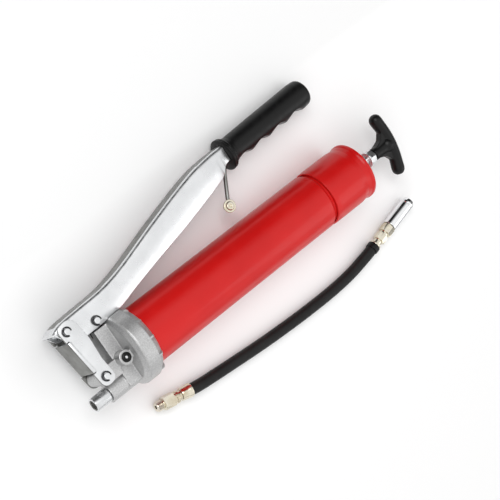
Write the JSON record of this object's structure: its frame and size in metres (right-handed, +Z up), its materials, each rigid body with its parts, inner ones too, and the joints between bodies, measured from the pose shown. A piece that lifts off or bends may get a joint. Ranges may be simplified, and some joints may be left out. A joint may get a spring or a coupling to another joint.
{
  "type": "lever grease gun",
  "caption": "Hand-operated lever grease gun with a T-handled follower rod, a folding catch rod on the lever and a loose delivery hose with a grease coupler.",
  "frame": {"origin": "middle of the gun's box, on the bench that it lies on", "axes": "+X runs back along the barrel from the nozzle to the T-handle, +Y points to the lever's side, +Z is up from the bench"},
  "size_m": [0.4158, 0.2017, 0.0714],
  "materials": {
    "red_paint": "gloss",
    "cast_alloy": "as cast, blasted",
    "zinc_plate": "bright zinc plate",
    "chrome": "polished",
    "machined": "machined",
    "dark_steel": "phosphated",
    "spring_steel": "oiled",
    "yellow_zinc": "pale yellow zinc plate",
    "black_plastic": "satin",
    "black_rubber": "smooth cover",
    "nitrile": "moulded"
  },
  "bodies": {
    "head": {"head_casting": "cast_alloy", "head_gasket": "nitrile", "outlet_adapter": "machined", "check_spring": "spring_steel", "plunger_seal": "nitrile", "bleed_valve_body": "black_plastic", "bleed_valve_spring": "spring_steel", "link_pin": "zinc_plate", "link_pin_ring": "dark_steel"},
    "bleed_pin": {"bleed_valve_pin": "machined"},
    "check_ball": {"check_ball": "chrome"},
    "link": {"link": "zinc_plate", "lever_pin": "zinc_plate", "lever_pin_ring": "dark_steel"},
    "lever": {"lever": "zinc_plate", "grip": "black_plastic", "plunger_pin": "zinc_plate", "plunger_pin_ring": "dark_steel", "catch_pin": "zinc_plate"},
    "plunger": {"plunger": "machined"},
    "catch": {"catch_rod": "zinc_plate", "catch_button": "yellow_zinc"},
    "barrel": {"barrel_tube": "red_paint", "rear_cap": "red_paint", "rod_guide": "zinc_plate", "follower_spring": "spring_steel"},
    "follower": {"follower_cup": "nitrile", "follower_plate": "spring_steel"},
    "rod": {"follower_rod": "zinc_plate", "rod_nut": "zinc_plate", "t_handle": "black_plastic"},
    "hose": {"hose_tube": "black_rubber", "hose_fitting": "yellow_zinc", "hose_ferrule": "yellow_zinc", "hose_ferrule_coupler": "black_plastic", "coupler_adaptor": "yellow_zinc", "coupler_sleeve": "chrome", "coupler_jaw_1": "machined", "coupler_jaw_2": "machined", "coupler_jaw_3": "machined", "coupler_seal": "nitrile", "coupler_spring": "spring_steel"}
  },
  "joints": [
    {"name": "link_swing", "type": "hinge", "parent": "head", "child": "link", "pos_m": [-0.18852, -0.03968, 0.03754], "axis": [0.0208, 0.1731, 0.9847], "range_deg": [-0.5, 0.1]},
    {"name": "lever_swing", "type": "hinge", "parent": "link", "child": "lever", "pos_m": [-0.19561, 0.01085, 0.02881], "axis": [0.0208, 0.1731, 0.9847], "range_deg": [0, 38]},
    {"name": "plunger_slide", "type": "slide", "parent": "head", "child": "plunger", "axis": [-0.0037, 0.9849, -0.173], "range_m": [0, 0.0204]},
    {"name": "catch_swing", "type": "hinge", "parent": "lever", "child": "catch", "pos_m": [0.0277, 0.04896, 0.0174], "axis": [0.0208, 0.1731, 0.9847], "range_deg": [-36, 10]},
    {"name": "barrel_turn", "type": "hinge", "parent": "head", "child": "barrel", "pos_m": [-0.13736, -0.03397, 0.03546], "axis": [0.9998, 0, -0.0211], "continuous": true},
    {"name": "follower_slide", "type": "slide", "parent": "barrel", "child": "follower", "axis": [0.9998, 0, -0.0211], "range_m": [0, 0.22], "stiffness_N_per_m": 120, "springref_m": -0.15, "deforming": ["follower_spring"]},
    {"name": "rod_turn", "type": "hinge", "parent": "follower", "child": "rod", "pos_m": [-0.13736, -0.03397, 0.03546], "axis": [0.9998, 0, -0.0211], "continuous": true},
    {"name": "bleed_press", "type": "slide", "parent": "head", "child": "bleed_pin", "axis": [-0.0208, -0.1731, -0.9847], "range_m": [0, 0.0015], "stiffness_N_per_m": 200, "springref_m": -0.002, "deforming": ["bleed_valve_spring"]},
    {"name": "check_lift", "type": "slide", "parent": "head", "child": "check_ball", "axis": [-0.9998, 0, 0.0211], "range_m": [0, 0.0015], "stiffness_N_per_m": 100, "springref_m": -0.003, "deforming": ["check_spring"]},
    {"name": "hose_lift", "type": "slide", "parent": "head", "child": "hose", "axis": [0, 0, 1], "range_m": [0, 0.3]}
  ],
  "couplings": [
    {"joint": "plunger_slide", "follows": "lever_swing", "m_per_rad": 0.0302},
    {"joint": "link_swing", "follows": "lever_swing", "ratio": -0.01}
  ]
}
